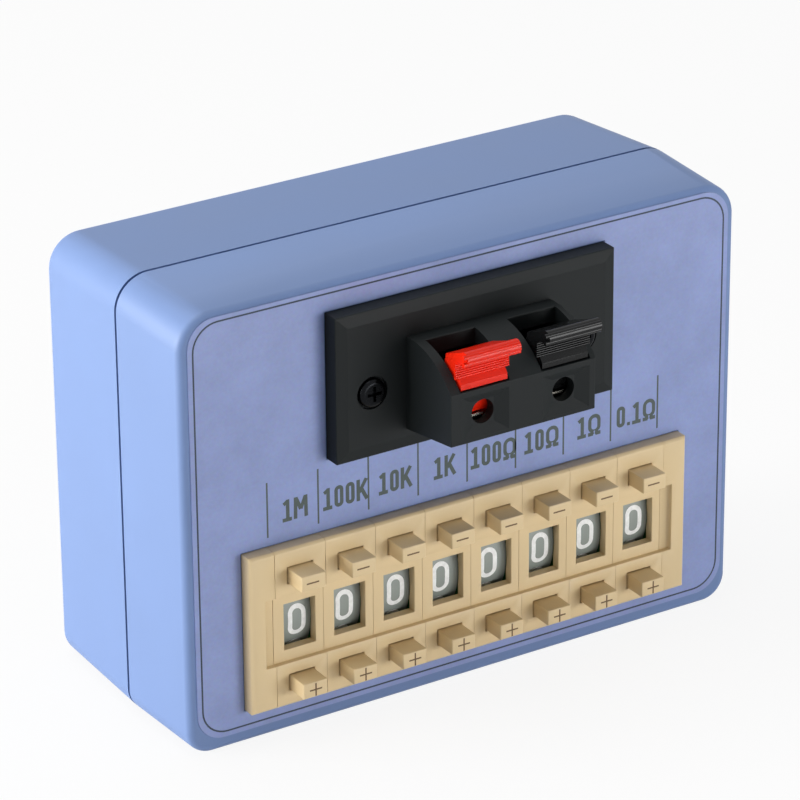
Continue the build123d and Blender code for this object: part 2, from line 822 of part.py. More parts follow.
def lead_points(side):
    """Route of one lead from a contact tag to the outer side of a board."""
    tag_x = wire_places()[0 if side < 0 else 1]
    tag_y = deep(spigot_depth + back_plate_thickness + tag_length)
    tag_z = terminal_z + strip_height
    if side < 0:
        board_face = module_x(1) + board_offset
    else:
        board_face = module_x(decades) + board_offset + board_thickness
    end_z = bank_z - link_offset
    turn_y = tag_y + lead_straight
    down_x = board_face + side * lead_side
    return [(tag_x, tag_y, tag_z),
            (tag_x, turn_y, tag_z),
            (tag_x + side * lead_out, turn_y + lead_back, tag_z - lead_drop),
            (down_x, deep(link_depth) + lead_lean, bank_z + lead_bow),
            (down_x, deep(link_depth), end_z),
            (board_face, deep(link_depth), end_z)]


def save(shape, name):
    """Write one sub-part and say how big it is."""
    export_step(shape, f"parts/{name}.step")
    print(name, round(shape.volume, 2))


save(make_front_shell(), "front_shell")
save(make_rear_shell(), "rear_shell")
save(make_front_label(), "front_label")
save(make_case_screws(), "case_screws")
save(make_terminal_body(), "terminal_body")
save(make_terminal_back_plate(), "terminal_back_plate")
save(make_terminal_screws(), "terminal_screws")
save(make_terminal_nuts(), "terminal_nuts")
for colour, side in (("red", -1), ("black", 1)):
    place = wire_places()[0 if side < 0 else 1]
    save(make_lever(place), f"lever_{colour}")
    save(make_contact(place), f"contact_{colour}")
    save(make_lead(lead_points(side)), f"lead_{colour}")
save(make_end_plate(-1), "end_plate_left")
save(make_end_plate(1), "end_plate_right")
save(make_tie_rods(), "tie_rods")
save(make_tie_nuts(), "tie_nuts")
save(make_board_links(), "board_links")
for number in range(1, decades + 1):
    place = module_x(number)
    save(make_switch_frame(place), f"switch_frame_{number}")
    save(make_digit_wheel(place), f"digit_wheel_{number}")
    save(make_button(place, 1), f"minus_button_{number}")
    save(make_button(place, -1), f"plus_button_{number}")
    save(make_decade_board(place), f"decade_board_{number}")
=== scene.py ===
"""Finishes, printing and small parts of a pocket resistance decade box.

Everything is in metres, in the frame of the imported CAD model: +Z is up and the
panel looks towards -Y. Sizes are written in millimetres and turned by MM.
"""

import json
import math

import bmesh
import bpy
from mathutils import Matrix, Vector


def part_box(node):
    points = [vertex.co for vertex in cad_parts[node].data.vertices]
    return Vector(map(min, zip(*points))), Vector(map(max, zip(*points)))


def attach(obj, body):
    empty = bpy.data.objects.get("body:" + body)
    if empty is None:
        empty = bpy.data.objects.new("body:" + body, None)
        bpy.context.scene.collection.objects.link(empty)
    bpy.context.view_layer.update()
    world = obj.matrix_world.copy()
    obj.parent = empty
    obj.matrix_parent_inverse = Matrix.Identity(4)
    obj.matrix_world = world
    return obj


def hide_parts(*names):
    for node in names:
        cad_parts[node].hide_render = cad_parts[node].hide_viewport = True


bl_info = {
    "name": "Resistance decade box",
    "version": (1, 0, 0),
    "blender": (4, 5, 0),
    "location": "View3D > Sidebar > Decade box",
    "description": "Dresses the packed resistance decade box and lights it",
    "category": "Object",
}

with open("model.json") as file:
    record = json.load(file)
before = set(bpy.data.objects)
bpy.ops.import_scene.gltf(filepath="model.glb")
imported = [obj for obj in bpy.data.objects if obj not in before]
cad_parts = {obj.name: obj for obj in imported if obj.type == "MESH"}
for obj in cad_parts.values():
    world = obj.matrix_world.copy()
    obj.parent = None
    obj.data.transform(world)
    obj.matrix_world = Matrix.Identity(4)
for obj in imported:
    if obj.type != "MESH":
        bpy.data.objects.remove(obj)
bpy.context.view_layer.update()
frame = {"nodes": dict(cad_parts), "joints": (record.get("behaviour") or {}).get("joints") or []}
MM = 0.001
JOINTS = {joint["name"]: joint for joint in frame["joints"]}
DECADES = 8
SCALE_TEXTS = ("1M", "100K", "10K", "1K", "100Ω", "10Ω", "1Ω", "0.1Ω")

# How far the printed digits of each drum stand right of its module's middle, in millimetres.
DIGIT_SHIFTS = (0.7, 0.3, 0.6, 0.0, -0.05, 0.6, 0.3, 0.6)

# Height of the caps' middles over and under the drums' axle.
CAP_OFFSET = 8.15 * MM

# Line of the dot, foot of the oval of an ohm, and how much of that oval is cut open below.
DOT_LINE = 0.5 * MM
OHM_FOOT = 0.3 * MM
OHM_CUT = 0.35 * MM

# Corner radius of the noughts and the ohms, as a share of half their width.
OVAL_SHARE = 0.96

# Extra weight of the text digits, and the width of the digit 1 as a share of the others.
DIGIT_WEIGHT = 0.02
NARROW_ONE = 0.5

# Steps in which a printed digit is bent round its drum.
WRAP_STEPS = 12

# Crease over which an edge counts as sharp enough to be rounded.
SHARP_CREASE = math.radians(35)

# Place and turn of the camera, solved from the straight edges of the case.
CAMERA_PLACE = (-0.308946, -0.495112, 0.303137)
CAMERA_TURN = (65.35601, 0.42949, -32.24788)

# Share of the floor that the camera sees as plain white; the rest shows the soft shadow.
FLOOR_GLOW = 0.9

# Outer width of each printed sign and its straight strokes, in millimetres from its foot.
SIGN_WIDTHS = {"0": 1.42, "1": 1.45, ".": 0.5, "K": 1.75, "M": 2.1, "Ω": 2.1}
SIGN_BARS = {
    "0": (),
    "1": (((0.0, 0.21), (1.45, 0.21)), ((0.82, 0.0), (0.82, 3.2)), ((0.18, 2.55), (0.8, 2.95))),
    ".": (((0.0, 0.25), (0.5, 0.25)),),
    "K": (((0.21, 0.0), (0.21, 3.2)), ((0.35, 1.25), (1.5, 3.15)), ((0.72, 1.8), (1.6, 0.05))),
    "M": (((0.21, 0.0), (0.26, 3.2)), ((1.89, 0.0), (1.84, 3.2)), ((0.3, 3.1), (1.05, 1.3)),
          ((1.8, 3.1), (1.05, 1.3))),
    "Ω": (((0.0, 0.21), (0.85, 0.21)), ((1.25, 0.21), (2.1, 0.21)), ((0.72, 0.1), (0.62, 0.75)),
          ((1.38, 0.1), (1.48, 0.75))),
}


def linear(hex_text):
    """Linear red, green and blue of an sRGB hex value."""
    channels = [int(hex_text[i:i + 2], 16) / 255 for i in (1, 3, 5)]
    return tuple(c / 12.92 if c <= 0.04045 else ((c + 0.055) / 1.055) ** 2.4 for c in channels)


def colour(label, words, hex_text):
    """A colour that the user can change, with its default."""
    return bpy.props.FloatVectorProperty(name=label, description=words, subtype="COLOR", size=3,
                                         min=0, max=1, default=linear(hex_text))


def length(label, words, millimetres):
    """A length that the user can change, with its default."""
    return bpy.props.FloatProperty(name=label, description=words, unit="LENGTH", precision=5,
                                   min=0, default=millimetres * MM)


class BoxColours(bpy.types.PropertyGroup):
    """Colours of the finishes."""

    case: colour("Case", "Moulded case halves", "#6A82AF")
    film: colour("Film", "Printed film on the panel", "#8493C4")
    print_dark: colour("Printing", "Ink of the lines and scale labels", "#47524F")
    line_dark: colour("Border line", "Ink of the thin border line", "#2E3A4A")
    bank: colour("Switch bank", "Module housings, cheeks and caps", "#DAC296")
    # The brown of the button marks is painted shade: it stands for the shade inside the engraved
    # minus and plus signs of the caps.
    mark: colour("Button marks", "Minus and plus signs on the caps", "#6A5034")
    drum: colour("Digit drums", "Grey drums behind the windows", "#8C948F")
    digit: colour("Digits", "Printed digits on the drums", "#F2F4F4")
    terminal: colour("Terminal", "Black moulding of the spring terminal", "#15191A")
    lever_red: colour("Red lever", "Moulded red clamping lever", "#E02208")
    lever_black: colour("Black lever", "Moulded black clamping lever", "#0E0F10")
    board: colour("Boards", "Solder mask of the decade boards", "#1E6B3A")
    contact: colour("Contacts", "Nickel-plated contact strips", "#D8D4C8")
    steel: colour("Zinc steel", "Nuts, rods and case screws", "#B9BCBD")
    black_steel: colour("Blackened steel", "Terminal screws", "#1B1C1E")
    lead: colour("Lead insulation", "Sleeves of the inner wires", "#202224")


class PrintSizes(bpy.types.PropertyGroup):
    """Sizes of the printing and of the small marks."""

    ink: length("Ink height", "How far the ink stands on its surface", 0.012)
    ink_step: length("Ink step", "How far a stroke stands over the one it crosses", 0.002)
    border_half_width: length("Border half width", "Middle to side line", 42.9)
    border_low: length("Border low", "Height of the bottom line", 2.75)
    border_high: length("Border high", "Height of the top line", 63.9)
    border_radius: length("Border radius", "Corner of the border line", 4.0)
    border_line: length("Border line", "Width of the border line", 0.25)
    tick_line: length("Tick line", "Width of the lines between labels", 0.26)
    tick_height: length("Tick height", "Height of the lines between labels", 8.2)
    tick_low: length("Tick foot", "Gap from the bank to the lines", 1.35)
    tick_shift: length("Tick shift", "How far the lines stand right of the joints", 0.275)
    label_height: length("Label height", "Capital height of the scale labels", 3.2)
    label_low: length("Label foot", "Gap from the bank to the labels", 3.05)
    label_shift: length("Label shift", "How far labels stand right of their middle", 0.33)
    label_line: length("Label line", "Width of the strokes of the labels", 0.55)
    label_gap: length("Label gap", "Space between the signs of a label", 0.37)
    digit_height: length("Digit height", "Height of the digits on the drums", 4.7)
    digit_width: length("Digit width", "Width of the digits on the drums", 2.8)
    digit_line: length("Digit line", "Width of the strokes of the zeros", 0.68)
    digit_drop: length("Digit drop", "How far digits stand below the axle's height", 0.24)
    mark_length: length("Mark length", "Length of the minus and plus strokes", 1.95)
    mark_line: length("Mark line", "Width of the minus and plus strokes", 0.22)
    minus_shift: length("Minus shift", "How far the minus signs stand left of the middle", 0.2)


class LeverSizes(bpy.types.PropertyGroup):
    """Grip of the clamping levers, measured from their pivots."""

    ribs: bpy.props.IntProperty(name="Ribs", description="Fine ribs under the finger bar",
                                min=0, default=7)
    rib_pitch: length("Rib pitch", "Distance between the fine ribs", 0.32)
    rib_radius: length("Rib radius", "Roundness of the fine ribs", 0.15)
    rib_inset: length("Rib inset", "Gap from the lever's sides to the ribs", 0.06)
    rib_foot: length("Rib foot", "Height of the lowest rib over the pivot", 5.36)
    hollow_reach: length("Hollow reach", "From the pivot forward to the ribbed face", 3.1)
    bar_reach: length("Bar reach", "From the pivot forward to the bar's middle", 4.5)
    bar_height: length("Bar height", "From the pivot up to the bar's middle", 8.5)
    ridge_offset: length("Ridge offset", "From the bar's middle to its ridges", 0.79)
    ridge_radius: length("Ridge radius", "Roundness of the two ridges on the bar", 0.34)
    ridge_high: bpy.props.FloatProperty(name="Upper ridge", subtype="ANGLE",
                                        description="Turn of the upper ridge round the bar",
                                        default=math.radians(40))
    ridge_low: bpy.props.FloatProperty(name="Lower ridge", subtype="ANGLE",
                                       description="Turn of the lower ridge round the bar",
                                       default=math.radians(35))


class StageSettings(bpy.types.PropertyGroup):
    """Camera and light."""

    lens: bpy.props.FloatProperty(name="Lens", description="Focal length of the camera in mm",
                                  min=10, default=205.25)
    room: bpy.props.FloatProperty(name="Room light", description="Strength of the white room",
                                  min=0, default=0.15)
    front: bpy.props.FloatProperty(name="Front lamp", description="Power of the front lamp in W",
                                   min=0, default=1.9)
    left: bpy.props.FloatProperty(name="Left lamp", description="Power of the left lamp in W",
                                  min=0, default=14.0)
    top: bpy.props.FloatProperty(name="Top lamp", description="Power of the top lamp in W",
                                 min=0, default=3.0)
    below: bpy.props.FloatProperty(name="Low lamp", description="Power of the low lamp in W",
                                   min=0, default=0.75)


def add_node(tree, kind, settings=None, **inputs):
    """Adds a node, sets its properties and fills or links its inputs."""
    node = tree.nodes.new(kind)
    for name, value in (settings or {}).items():
        setattr(node, name, value)
    for name, value in inputs.items():
        socket = node.inputs[int(name[1:]) if name[0] == "i" and name[1:].isdigit()
                             else name.replace("_", " ")]
        if isinstance(value, bpy.types.NodeSocket):
            tree.links.new(value, socket)
        else:
            socket.default_value = value
    return node


def start_material(name):
    """An empty node material with its output, and object coordinates in metres."""
    material = bpy.data.materials.new(name)
    material.use_nodes = True
    tree = material.node_tree
    tree.nodes.clear()
    place = add_node(tree, "ShaderNodeTexCoord").outputs["Object"]
    return material, tree, place


def end_material(material, tree, shader):
    """Links a shader to the material's output."""
    add_node(tree, "ShaderNodeOutputMaterial", Surface=shader.outputs[0])
    return material


def shade(base, factor):
    """A linear colour made lighter or darker, with its alpha."""
    return (base[0] * factor, base[1] * factor, base[2] * factor, 1.0)


def moulded_abs(name, base, gloss, grit_mm, grain, cloud=0.05, specular=0.5):
    """Moulded ABS: spark-eroded grit in the skin, and slow clouds of tone."""
    material, tree, place = start_material(name)
    clouds = add_node(tree, "ShaderNodeTexNoise", Vector=place, Scale=1 / (14 * MM), Detail=3.0)
    tone = add_node(tree, "ShaderNodeMix", {"data_type": "RGBA"}, Factor=clouds.outputs["Fac"],
                    i6=shade(base, 1 - cloud), i7=shade(base, 1 + cloud))
    grit = add_node(tree, "ShaderNodeTexNoise", Vector=place, Scale=1 / (grit_mm * MM),
                    Detail=2.0)
    wear = add_node(tree, "ShaderNodeMapRange", Value=clouds.outputs["Fac"], To_Min=gloss - 0.04,
                    To_Max=gloss + 0.04)
    bump = add_node(tree, "ShaderNodeBump", Strength=grain, Distance=0.02 * MM,
                    Height=grit.outputs["Fac"])
    shader = add_node(tree, "ShaderNodeBsdfPrincipled", Base_Color=tone.outputs[2],
                      Roughness=wear.outputs[0], IOR=1.53, Specular_IOR_Level=specular,
                      Normal=bump.outputs[0])
    return end_material(material, tree, shader)


def make_finishes():
    """All the finishes, by their names."""
    c = bpy.context.scene.box_colours
    made = {}
    # The case is ABS from a spark-eroded mould: a dull skin that shows fine grit in a highlight.
    made["case"] = moulded_abs("moulded_abs_case", c.case, 0.52, 0.32, 0.25, specular=0.45)
    # The bank is ABS from a polished mould: a soft shine over an almost even tone.
    made["bank"] = moulded_abs("moulded_abs_bank", c.bank, 0.42, 0.25, 0.10, cloud=0.04)
    # The terminal is dull black ABS, so edges show as soft grey lines.
    made["terminal"] = moulded_abs("moulded_abs_terminal", c.terminal, 0.55, 0.22, 0.30,
                                   specular=0.15)
    # The levers are glossy ABS, so ribs catch small bright lines.
    made["lever_red"] = moulded_abs("glossy_abs_red", c.lever_red, 0.27, 0.5, 0.05, specular=0.2)
    made["lever_black"] = moulded_abs("glossy_abs_black", c.lever_black, 0.22, 0.5, 0.05,
                                      specular=0.2)
    # The drums are dull ABS, so the white digits stand out; the leads have a smooth PVC sleeve.
    made["drum"] = moulded_abs("moulded_abs_drum", c.drum, 0.5, 0.2, 0.10)
    made["lead"] = moulded_abs("extruded_pvc_lead", c.lead, 0.4, 0.6, 0.05)
    made["film"] = printed_film(c.film)
    made["ink"] = screen_ink("screen_ink_dark", c.print_dark)
    made["line"] = screen_ink("screen_ink_line", c.line_dark)
    made["digit"] = screen_ink("pad_print_white", c.digit)
    # Raised brown strokes for the engraved signs on the caps; their brown is painted shade of
    # the grooves.
    made["mark"] = screen_ink("engraved_mark_brown", c.mark)
    made["board"] = solder_mask(c.board)
    made["contact"] = rolled_metal("nickel_plated_bronze", c.contact, 0.25)
    made["steel"] = rolled_metal("zinc_plated_steel", c.steel, 0.35)
    made["black_steel"] = rolled_metal("blackened_steel", c.black_steel, 0.28)
    return made


def printed_film(base):
    """Polyester film with a mottled print under a soft gloss, so it mirrors dimly."""
    material, tree, place = start_material("printed_polyester_film")
    blotch = add_node(tree, "ShaderNodeTexNoise", Vector=place, Scale=1 / (7 * MM), Detail=5.0,
                      Roughness=0.62)
    spread = add_node(tree, "ShaderNodeMapRange", Value=blotch.outputs["Fac"], From_Min=0.35,
                      From_Max=0.65)
    fleck = add_node(tree, "ShaderNodeTexNoise", Vector=place, Scale=1 / (0.5 * MM), Detail=2.0)
    tone = add_node(tree, "ShaderNodeMix", {"data_type": "RGBA"}, Factor=spread.outputs[0],
                    i6=shade(base, 0.93), i7=shade(base, 1.06))
    speck = add_node(tree, "ShaderNodeMix", {"data_type": "RGBA", "blend_type": "OVERLAY"},
                     Factor=0.12, i6=tone.outputs[2], i7=fleck.outputs["Color"])
    bump = add_node(tree, "ShaderNodeBump", Strength=0.12, Distance=0.02 * MM,
                    Height=fleck.outputs["Fac"])
    shader = add_node(tree, "ShaderNodeBsdfPrincipled", Base_Color=speck.outputs[2],
                      Roughness=0.3, IOR=1.6, Normal=bump.outputs[0])
    return end_material(material, tree, shader)


def screen_ink(name, base):
    """Thick printed ink: dull, with small uneven patches where it is thin."""
    material, tree, place = start_material(name)
    patch = add_node(tree, "ShaderNodeTexNoise", Vector=place, Scale=1 / (0.6 * MM), Detail=3.0)
    tone = add_node(tree, "ShaderNodeMix", {"data_type": "RGBA"}, Factor=patch.outputs["Fac"],
                    i6=shade(base, 0.8), i7=shade(base, 1.2))
    shader = add_node(tree, "ShaderNodeBsdfPrincipled", Base_Color=tone.outputs[2],
                      Roughness=0.6, IOR=1.45)
    return end_material(material, tree, shader)


def solder_mask(base):
    """Green lacquer over glass cloth, with the weave showing through as a faint check."""
    material, tree, place = start_material("solder_mask_board")
    weave = add_node(tree, "ShaderNodeTexChecker", Vector=place, Scale=1 / (0.5 * MM),
                     Color1=shade(base, 0.9), Color2=shade(base, 1.1))
    shader = add_node(tree, "ShaderNodeBsdfPrincipled", Base_Color=weave.outputs[0],
                      Roughness=0.35, IOR=1.5)
    return end_material(material, tree, shader)


def rolled_metal(name, base, gloss):
    """Metal with drawing marks along X, which stretch its highlights a little."""
    material, tree, place = start_material(name)
    turned = add_node(tree, "ShaderNodeMapping", Vector=place, Scale=(0.1, 1.0, 1.0))
    marks = add_node(tree, "ShaderNodeTexNoise", Vector=turned.outputs[0], Scale=1 / (0.2 * MM),
                     Detail=3.0)
    rough = add_node(tree, "ShaderNodeMapRange", Value=marks.outputs["Fac"],
                     To_Min=gloss - 0.08, To_Max=gloss + 0.08)
    shader = add_node(tree, "ShaderNodeBsdfPrincipled", Base_Color=shade(base, 1),
                      Roughness=rough.outputs[0], Metallic=1.0)
    return end_material(material, tree, shader)


def finish_of(name):
    """One finish, made once for the file."""
    if not bpy.context.scene.get("box_finishes"):
        made = make_finishes()
        bpy.context.scene["box_finishes"] = {key: made[key].name for key in made}
    return bpy.data.materials[bpy.context.scene["box_finishes"][name]]


def paint(node, finish):
    """Gives a carried-over CAD node one of the finishes."""
    node.data.materials.clear()
    node.data.materials.append(finish_of(finish))
    for face in node.data.polygons:
        face.material_index = 0


def add_piece(name, bm, body, finish, stands_for=(), smooth_angle=32):
    """Turns a finished bmesh into a piece that rides on a CAD body."""
    mesh = bpy.data.meshes.new(name)
    bm.normal_update()
    bm.to_mesh(mesh)
    bm.free()
    mesh.materials.append(finish_of(finish))
    mesh.shade_smooth()
    mesh.set_sharp_from_angle(angle=math.radians(smooth_angle))
    piece = bpy.data.objects.new(name, mesh)
    bpy.context.scene.collection.objects.link(piece)
    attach(piece, body)
    if stands_for:
        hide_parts(*stands_for)
    return piece


def soften(bm, width, shortest, joints=()):
    """Rounds the long sharp outer edges of a moulding, but none on a joint at a given X."""
    edges = [edge for edge in bm.edges
             if len(edge.link_faces) == 2 and edge.calc_length() > shortest
             and edge.calc_face_angle_signed(0) > SHARP_CREASE
             and not any(all(abs(vert.co.x - x) < 0.01 * MM for vert in edge.verts)
                         for x in joints)]
    bmesh.ops.bevel(bm, geom=edges, affect="EDGES", offset=width, offset_type="OFFSET",
                    segments=2, profile=0.5, material=-1, clamp_overlap=True)


def copy_of(node, width, shortest, joints=()):
    """A merged copy of a CAD node's mesh with its long edges rounded."""
    bm = bmesh.new()
    bm.from_mesh(frame["nodes"][node].data)
    bmesh.ops.remove_doubles(bm, verts=bm.verts[:], dist=0.0005 * MM)
    bmesh.ops.dissolve_limit(bm, angle_limit=math.radians(0.5), verts=bm.verts[:],
                             edges=bm.edges[:], delimit={"NORMAL"})
    if width:
        soften(bm, width, shortest, joints)
    return bm


def dress(node, body, finish, width=0.1 * MM, shortest=0.6 * MM, joints=(),
          smooth_angle=32):
    """Replaces a CAD node by its softened copy."""
    return add_piece(f"{node}_moulded", copy_of(node, width, shortest, joints), body, finish,
                     (node,), smooth_angle)


def slab(bm, low, high):
    """A block between two corners."""
    made = bmesh.ops.create_cube(bm, size=1.0)
    low, high = Vector(low), Vector(high)
    size = Matrix.Diagonal((*(high - low), 1.0))
    bmesh.ops.transform(bm, matrix=Matrix.Translation((low + high) / 2) @ size,
                        verts=made["verts"])
    return made["verts"]


def rod(bm, x0, x1, y, z, radius):
    """A round bar along X."""
    made = bmesh.ops.create_cone(bm, cap_ends=True, segments=16, radius1=radius, radius2=radius,
                                 depth=x1 - x0)
    place = Matrix.Translation(((x0 + x1) / 2, y, z)) @ Matrix.Rotation(math.radians(90), 4, "Y")
    bmesh.ops.transform(bm, matrix=place, verts=made["verts"])


def flat_print(bm, depth):
    """Turns flat faces in the X-Y plane into ink of some height, up from the plane."""
    faces = bm.faces[:]
    made = bmesh.ops.extrude_face_region(bm, geom=faces)
    tops = [item for item in made["geom"] if isinstance(item, bmesh.types.BMVert)]
    bmesh.ops.translate(bm, verts=tops, vec=(0, 0, depth))
    bmesh.ops.recalc_face_normals(bm, faces=bm.faces[:])


def text_shape(words, weight):
    """Flat outline of a text as a bmesh in the X-Y plane."""
    curve = bpy.data.curves.new("lettering", "FONT")
    curve.body = words
    curve.size = 1.0
    curve.offset = weight
    curve.resolution_u = 5
    holder = bpy.data.objects.new("lettering", curve)
    bpy.context.scene.collection.objects.link(holder)
    graph = bpy.context.evaluated_depsgraph_get()
    mesh = bpy.data.meshes.new_from_object(holder.evaluated_get(graph))
    bm = bmesh.new()
    bm.from_mesh(mesh)
    bmesh.ops.remove_doubles(bm, verts=bm.verts[:], dist=1e-4)
    bpy.data.objects.remove(holder)
    bpy.data.curves.remove(curve)
    bpy.data.meshes.remove(mesh)
    return bm


def fit(bm, left, right, low, high):
    """Scales and moves a flat shape into a rectangle of the X-Y plane."""
    xs = [v.co.x for v in bm.verts]
    ys = [v.co.y for v in bm.verts]
    sx = (right - left) / (max(xs) - min(xs))
    sy = (high - low) / (max(ys) - min(ys))
    move = Matrix.Translation((left - min(xs) * sx, low - min(ys) * sy, 0))
    bmesh.ops.transform(bm, matrix=move @ Matrix.Diagonal((sx, sy, 1, 1)), verts=bm.verts[:])


def onto_panel(y):
    """Matrix that stands the X-Y plane on a face that looks towards -Y."""
    return Matrix.Translation((0, y, 0)) @ Matrix.Rotation(math.radians(90), 4, "X")


def merge_into(target, part):
    """Adds one bmesh to another and frees it."""
    mesh = bpy.data.meshes.new("part")
    part.to_mesh(mesh)
    part.free()
    target.from_mesh(mesh)
    bpy.data.meshes.remove(mesh)


def rounded_ring(half_width, half_height, radius, line):
    """Flat rounded frame of one line width about the origin."""
    bm = bmesh.new()
    bmesh.ops.create_grid(bm, x_segments=1, y_segments=1, size=1.0)
    bmesh.ops.scale(bm, vec=(half_width, half_height, 1), verts=bm.verts[:])
    bmesh.ops.bevel(bm, geom=bm.verts[:], affect="VERTICES", offset=radius,
                    offset_type="OFFSET", segments=10, profile=0.5, material=-1)
    inner = bm.faces[:]
    bmesh.ops.inset_region(bm, faces=inner, thickness=line, use_even_offset=True,
                           use_boundary=True)
    bmesh.ops.delete(bm, geom=inner, context="FACES")
    return bm


class PieceOperator(bpy.types.Operator):
    """Shared by the operators that make pieces."""

    bl_options = {"REGISTER", "UNDO"}


class BOX_OT_case(PieceOperator):
    """Finish the two moulded case halves"""

    bl_idname = "box.case"
    bl_label = "Case halves"

    def execute(self, context):
        for node in ("front_shell", "rear_shell"):
            dress(node, "housing", "case", width=0)
        return {"FINISHED"}


class BOX_OT_panel_print(PieceOperator):
    """Print the border line, the tick lines and the scale labels on the film"""

    bl_idname = "box.panel_print"
    bl_label = "Panel printing"

    def execute(self, context):
        sizes = context.scene.print_sizes
        paint(frame["nodes"]["front_label"], "film")
        surface = onto_panel(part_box("front_label")[0].y)
        half_height = (sizes.border_high - sizes.border_low) / 2
        ring = rounded_ring(sizes.border_half_width, half_height, sizes.border_radius,
                            sizes.border_line)
        bmesh.ops.translate(ring, verts=ring.verts[:],
                            vec=(0, sizes.border_low + half_height, 0))
        flat_print(ring, sizes.ink)
        ring.transform(surface)
        add_piece("border_line", ring, "housing", "line")
        bank_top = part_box("switch_frame_1")[1].z
        pitch = module_middle(2) - module_middle(1)
        marks = bmesh.new()
        low = bank_top + sizes.tick_low
        for number in range(DECADES + 1):
            x = module_middle(1) + (number - 0.5) * pitch + sizes.tick_shift
            slab(marks, (x - sizes.tick_line / 2, low, 0),
                 (x + sizes.tick_line / 2, low + sizes.tick_height, sizes.ink))
        foot = bank_top + sizes.label_low
        for number, words in enumerate(SCALE_TEXTS, 1):
            x = module_middle(number) + sizes.tick_shift + sizes.label_shift
            x -= label_width(words, sizes) / 2
            for sign in words:
                add_sign(marks, sign, x, foot, sizes)
                x += SIGN_WIDTHS[sign] * MM + sizes.label_gap
        marks.transform(surface)
        add_piece("scale_marks", marks, "housing", "ink")
        return {"FINISHED"}


def label_width(words, sizes):
    """Printed width of one scale label."""
    return (sum(SIGN_WIDTHS[sign] for sign in words) * MM
            + (len(words) - 1) * sizes.label_gap)


def stroke(bm, start, end, width, depth):
    """A straight printed stroke between two points of the X-Y plane."""
    start, end = Vector((*start, 0)), Vector((*end, 0))
    along = end - start
    verts = slab(bm, (-along.length / 2, -width / 2, 0), (along.length / 2, width / 2, depth))
    turn = Matrix.Rotation(math.atan2(along.y, along.x), 4, "Z")
    bmesh.ops.transform(bm, matrix=Matrix.Translation((start + end) / 2) @ turn, verts=verts)


def add_sign(bm, sign, left, foot, sizes):
    """One sign of a scale label: its straight strokes, and the oval of a nought or an ohm."""
    width = SIGN_WIDTHS[sign] * MM
    for number, (start, end) in enumerate(SIGN_BARS[sign], 1):
        line = DOT_LINE if sign == "." else sizes.label_line
        stroke(bm, *((left + x * MM, foot + y * MM) for x, y in (start, end)), line,
               sizes.ink + number * sizes.ink_step)
    if sign in "0Ω":
        low = OHM_FOOT if sign == "Ω" else 0
        half_height = (sizes.label_height - low) / 2
        oval = rounded_ring(width / 2, half_height, width / 2 * OVAL_SHARE, sizes.label_line)
        if sign == "Ω":
            bmesh.ops.bisect_plane(oval, geom=oval.verts[:] + oval.edges[:] + oval.faces[:],
                                   plane_co=(0, -half_height + OHM_CUT, 0),
                                   plane_no=(0, -1, 0), clear_outer=True)
        bmesh.ops.translate(oval, verts=oval.verts[:],
                            vec=(left + width / 2, foot + low + half_height, 0))
        flat_print(oval, sizes.ink)
        merge_into(bm, oval)


def module_middle(number):
    """X of the middle of one switch module."""
    return JOINTS[f"digit_{number}_spin"]["pos_m"][0]


class BOX_OT_switch_bank(PieceOperator):
    """Finish the module housings and the end cheeks of the switch bank"""

    bl_idname = "box.switch_bank"
    bl_label = "Switch bank"

    def execute(self, context):
        for number in range(1, DECADES + 1):
            node = f"switch_frame_{number}"
            low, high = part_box(node)
            dress(node, "housing", "bank", width=0.09 * MM, joints=(low.x, high.x))
        for side in ("left", "right"):
            dress(f"end_plate_{side}", "housing", "bank", width=0.09 * MM)
        return {"FINISHED"}


class BOX_OT_buttons(PieceOperator):
    """Finish the push buttons and mark them with minus and plus signs, whose brown is painted
    shade of engraved grooves
    """

    bl_idname = "box.buttons"
    bl_label = "Push buttons"

    def execute(self, context):
        sizes = context.scene.print_sizes
        half = sizes.mark_length / 2
        line = sizes.mark_line / 2
        for kind, cap_side, shift in (("minus", 1, sizes.minus_shift), ("plus", -1, 0)):
            for number in range(1, DECADES + 1):
                node = f"{kind}_button_{number}"
                body = f"{kind}_{number}"
                dress(node, body, "bank", width=0.08 * MM)
                face_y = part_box(node)[0].y
                middle = module_middle(number) - shift
                z = JOINTS["digit_1_spin"]["pos_m"][2] + cap_side * CAP_OFFSET
                # Each sign is a raised stroke whose brown is painted shade of an engraved
                # groove.
                mark = bmesh.new()
                slab(mark, (middle - half, z - line, 0), (middle + half, z + line, sizes.ink))
                if kind == "plus":
                    slab(mark, (middle - line, z - half, 0),
                         (middle + line, z + half, sizes.ink + sizes.ink_step))
                mark.transform(onto_panel(face_y))
                add_piece(f"{kind}_sign_{number}", mark, body, "mark")
        return {"FINISHED"}


class BOX_OT_digit_wheels(PieceOperator):
    """Finish the drums and print ten digits on each"""

    bl_idname = "box.digit_wheels"
    bl_label = "Digit wheels"

    def execute(self, context):
        sizes = context.scene.print_sizes
        for number in range(1, DECADES + 1):
            node = f"digit_wheel_{number}"
            body = f"digit_{number}"
            dress(node, body, "drum", width=0)
            x, y, z = JOINTS[f"digit_{number}_spin"]["pos_m"]
            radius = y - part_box(node)[0].y
            digits = bmesh.new()
            for value in range(10):
                shape = digit_shape(value, sizes)
                flat_print(shape, sizes.ink)
                bmesh.ops.translate(shape, verts=shape.verts[:],
                                    vec=(DIGIT_SHIFTS[number - 1] * MM, -sizes.digit_drop, 0))
                wrap(shape, radius)
                shape.transform(Matrix.Translation((x, y, z))
                                @ Matrix.Rotation(math.radians(90 - 36 * value), 4, "X"))
                merge_into(digits, shape)
            add_piece(f"digits_{number}", digits, body, "digit")
        return {"FINISHED"}


